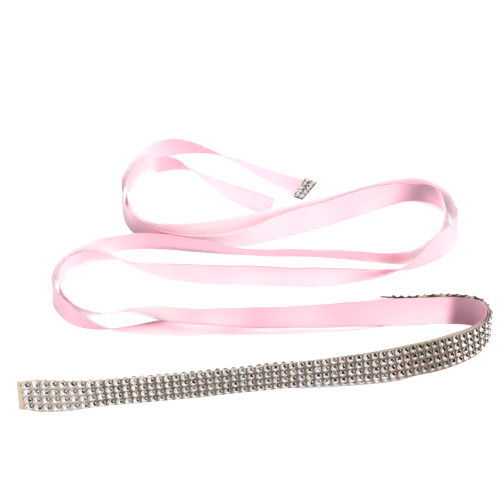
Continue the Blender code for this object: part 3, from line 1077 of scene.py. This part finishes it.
def stoneTones(groups, dark, depth, shine, edge):
    # painted reflections and glints: facets black on the dark side, white across from it, and each stone and
    # facet with its own cast;
    # the painted dark side starts where the cosine to its middle passes the edge
    count, edge, casts = len(dark), edge[:, None], np.array(stoneCut["casts"])
    own = casts[chance.integers(0, len(casts), count)][:, None, :]
    share = stoneCut["ownCast"]
    made = []
    for group, (turn, level, reach) in zip(groups, stoneCut["facets"]):
        faces = len(group)
        angle = (np.arange(faces) % 8 + turn) * np.pi / 4
        toward = np.cos(angle[None, :] - dark[:, None])
        value = level + chance.normal(0, stoneCut["toneSpread"], (count, faces))
        value = value + stoneCut["bright"] * smoothStep(*stoneCut["brightFrom"], -toward) * reach
        shade = smoothStep(edge, edge + stoneCut["darkOver"], toward)
        value = value * shine[:, None] * (1 - reach * depth[:, None] * shade)
        cast = (1 - share) * own + share * casts[chance.integers(0, len(casts), (count, faces))]
        made.append(np.clip(value, stoneCut["leastTone"], 1.0)[..., None] * cast)
    return made


def cupTones(groups, dark, depth, shine):
    # silver with painted shade: duller towards the foot, dimmer on the painted dark side, and browner where
    # the cup is painted dim
    count = len(shine)
    silver, dim = np.array(cupForm["silver"]), np.array(cupForm["dim"])
    cast = dim + (silver - dim) * shine[:, None, None]
    even, grows = cupForm["toneSpread"]
    made = []
    for group, (level, reach) in zip(groups, cupForm["faces"]):
        angle = (np.arange(len(group)) + 0.5) * 2 * np.pi / len(group)
        toward = np.cos(angle[None, :] - dark[:, None])
        value = level + chance.normal(0, even + grows * level, (count, len(group)))
        value = np.clip(value, cupForm["leastTone"], 1)
        value = value * (1 - reach * depth[:, None] * smoothStep(*cupForm["darkFrom"], toward))
        made.append(value[..., None] * shine[:, None, None] * cast)
    return made


def cupsAndStones(name, foot, cupAxes, stoneAxes, stretch, dark, cupTone, stoneTone):
    # the cups, and then the stones in them, as one joined mesh each;
    # cupTone: depth of the painted dark side and painted light; stoneTone: those two and the painted dark
    # side's edge
    cupTone, stoneTone = ([np.zeros(len(foot)) + value for value in tone] for tone in (cupTone, stoneTone))
    cup, stone = cupShape(), stoneShape()
    tones = cupTones(cup[1], dark, *cupTone)
    cups = copiesMesh(name + "Cups", cup, foot, cupAxes, stretch, cupMetal, tones)
    tones = stoneTones(stone[1], dark, *stoneTone)
    stones = copiesMesh(name + "Stones", stone, foot, stoneAxes, stoneScale * stretch, glass, tones)
    return cups, stones


def fewStones(name, run, across, off, facing, sizes):
    # cups and stones that face one way and have one painted dark side
    foot = ribbonSurface(run, across, off)
    axes = axesAt(run, tilts(len(run)), facing)
    middle, spread = sizes["paintedDarkSide"]
    dark = np.radians(middle + chance.normal(0, spread, len(run)))
    stretch = np.array(sizes["stretch"])
    return cupsAndStones(name, foot, axes, axes, stretch, dark, sizes["cupTone"], sizes["stoneTone"])


cupMetal, glass = cupMaterial(), stoneMaterial()
chance = np.random.default_rng(bandSizes["seed"])
stoneRadius = bandSizes["stoneRadius"]
stoneScale = np.array([stoneRadius, stoneRadius * bandSizes["stoneTall"], bandSizes["stoneHeight"]])

# Backing tape of the long band
tapeStart, tapeEnd = -bandFront - foldHalf - bandSizes["tapeMore"], bandBack + foldHalf
run = np.arange(tapeStart, tapeEnd, bandSizes["tapeStep"])[:, None]
across = np.linspace(-1, 1, bandSizes["tapeAcross"])[None, :] * bandSizes["tapeHalf"] + 0 * run
across[:, -1:] += np.where(run < 0, bandAt("tapeTop", run), 0)
run = run + 0 * across
bandTape = stripMesh("bandTape", run, across, bandSizes["tapeOff"], bandSizes["tapeThick"], tapeMaterial())

# Stones and cups of the long band
run, across = bandPlaces()
count = len(run)
foot = ribbonSurface(run, across, bandSizes["cupFoot"])
upright = axesAt(run, np.zeros((count, 2)), 1)
upright[:, 0] *= bandAt("cupSpread", run)[:, None]
tilted = axesAt(run, tilts(count), 1)
# painted reflections, glints and shade of the band's stones and cups
dark = np.radians(bandAt("paintedDarkSide", run) + chance.normal(0, bandSizes["darkSpread"], count))
depth = bandAt("darkDepth", run) + chance.normal(0, bandSizes["depthSpread"], count)
depth = np.clip(depth, bandSizes["leastDepth"], 1)
cupTone = depth - bandSizes["cupLess"], bandAt("cupPaintedLight", run)
stoneTone = depth, bandAt("stonePaintedLight", run), bandAt("darkEdge", run)
cups, stones = cupsAndStones("band", foot, upright, tilted, 1.0, dark, cupTone, stoneTone)
print("band:", count, "stones")

# The back half's lowest cups lap round its edge and show under the front one
lap = {
    "from": 131,
    "to": 187,
    "pitch": 3.9,
    "across": -6.0,
    "stretch": (1.2, 0.95, 0.6),
    "paintedDarkSide": (70, 20),  # its middle in degrees, and how unevenly it lies
    "cupTone": (0.4, 0.72),
    "stoneTone": (0.8, 0.72, 0.2),
}
run = np.arange(lap["from"], lap["to"], lap["pitch"]) + foldHalf
across = np.full(len(run), lap["across"])
lapCups, lapStones = fewStones("lap", run, across, -ribbonSizes["thick"] / 2, -1, lap)

tipSizes = {
    "start": 1.2,  # this much of it lies on the ribbon
    "length": 6.4,
    "width": 18.0,
    "slant": 2.2,  # its inner edge, from low to high
    "columns": 2,
    "rows": 5,
    "rowShare": 0.98,  # the rows keep to this share of the width
    "thick": 0.35,
    "off": 0.35,
    "along": 7,  # stations of its tape
    "across": 9,
    "stretch": (1.0, 1.0, 1.0),
    "paintedDarkSide": (200, 30),
    "cupTone": (0.3, 0.8),
    "stoneTone": (0.8, 0.8, 0.3),
}
tipInner = tipSizes["start"] - frontReach


def tipSkew(run, across):
    # the inner edge slants with the place across, the outer one stays square
    inner = (run + frontReach - tipSizes["start"]) / tipSizes["length"] + 1
    return run + tipSizes["slant"] * across / tipSizes["width"] * inner


def tipPlaces():
    # every stone of the tip: columns from the inner edge out, rows about the middle
    columns = tipSizes["length"] / tipSizes["columns"] * (np.arange(tipSizes["columns"]) + 0.5)
    rows = np.arange(tipSizes["rows"]) - (tipSizes["rows"] - 1) / 2
    rows = rows * tipSizes["width"] / tipSizes["rows"] * tipSizes["rowShare"]
    run, across = np.meshgrid(tipInner - columns, rows, indexing="ij")
    return tipSkew(run, across).ravel(), across.ravel()


# Tip of the front tail: its own tape, cups and stones
run = np.linspace(tipInner, tipInner - tipSizes["length"], tipSizes["along"])[::-1, None]
across = np.linspace(-0.5, 0.5, tipSizes["across"])[None, :] * tipSizes["width"] + 0 * run
run = tipSkew(run + 0 * across, across)
tipTape = stripMesh("tipTape", run, across, tipSizes["off"], tipSizes["thick"], tipMaterial())
run, across = tipPlaces()
tipCups, tipStones = fewStones("tip", run, across, bandSizes["cupFoot"], 1, tipSizes)
print("tip:", len(run), "stones")

# Every piece rides on the one body, and stands for its solids
satinNodes = [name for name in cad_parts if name.startswith(("front_", "back_")) or name == "end_fold"]
for piece in (ribbon, bandTape, cups, stones, lapCups, lapStones, tipTape, tipCups, tipStones):
    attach(piece, "root")
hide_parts(*satinNodes)
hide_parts("trim_front", "trim_turn", "trim_behind", "trim_fold")
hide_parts("tip_trim")

studio = {
    "floor": (0.2, 0.2, 0.2),
    "mottle": (0.25, 0.25, 0.25),
    "mottleShare": 0.1,
    "mottleScale": 3.0,
    "floorGlow": 0.93,  # a lit white table, so that shadows on it stay faint
    "floorReach": 4000.0,
    "floorDrop": 0.02 * mm,  # keeps it clear of the ribbon's underside
    # name, direction round from the viewer, height in degrees, distance, size, strength on what faces it
    "lamps": [
        ("keyLight", 50, 22, 1.6, 0.6, 0.25),
        ("leftLight", -95, 22, 1.6, 0.8, 0.25),
        ("rearLight", -150, 12, 1.6, 0.5, 0.2),
    ],
    "world": 1.15,
}


def areaLight(name, around, height, distance, size, strength):
    # a disk lamp that looks at the middle; its power gives white cloth facing it this much of full white
    lamp = bpy.data.lights.new(name, "AREA")
    lamp.shape, lamp.size, lamp.energy = "DISK", size, strength * np.pi**2 * distance**2
    made = bpy.data.objects.new(name, lamp)
    a, e = np.radians(around), np.radians(height)
    made.location = distance * np.array([np.sin(a) * np.cos(e), -np.cos(a) * np.cos(e), np.sin(e)])
    made.rotation_euler = (np.pi / 2 - e, 0, a)
    bpy.context.scene.collection.objects.link(made)


def floorMaterial():
    glow = {"Emission Color": (1, 1, 1, 1), "Emission Strength": studio["floorGlow"]}
    look = Look("studioFloor", {"Roughness": 0.9, "Specular IOR Level": 0.0, **glow})
    mottle = look.noise(studio["mottleScale"], 2.0) * studio["mottleShare"]
    return look.finish({"Base Color": look.mixed(mottle, studio["floor"], studio["mottle"])})


def buildStudio():
    # a pale floor, soft lamps and an even white world
    reach = studio["floorReach"]
    grid = np.array([(x, y, 0.0) for x in (-reach, reach) for y in (-reach, reach)])
    corners = [np.array([(0, 2, 3, 1)])]
    floor = newMesh("studioFloor", grid + layout["centre"], corners, floorMaterial(), False)
    floor.location.z = -studio["floorDrop"]
    for lamp in studio["lamps"]:
        areaLight(*lamp)
    world = bpy.data.worlds.new("studioWorld")
    world.use_nodes = True
    background = world.node_tree.nodes["Background"]
    background.inputs["Color"].default_value = (1, 1, 1, 1)
    background.inputs["Strength"].default_value = studio["world"]
    bpy.context.scene.world = world
    bpy.context.scene.view_settings.view_transform = "Standard"


def placeCamera():
    # the photograph's own angle: the lens looks down at the layout's zero
    lens = bpy.data.cameras.new("camera")
    lens.lens, lens.sensor_width = layout["lens"], layout["sensor"]
    lens.clip_start, lens.clip_end = layout["clip"]
    made = bpy.data.objects.new("camera", lens)
    angle = np.radians(layout["cameraAngle"])
    away = layout["cameraDistance"] * np.array([0, -np.cos(angle), np.sin(angle)])
    made.location = placed(away)
    made.rotation_euler = (np.pi / 2 - angle, 0, 0)
    bpy.context.scene.collection.objects.link(made)
    bpy.context.scene.camera = made


buildStudio()
placeCamera()
print("scene finished")
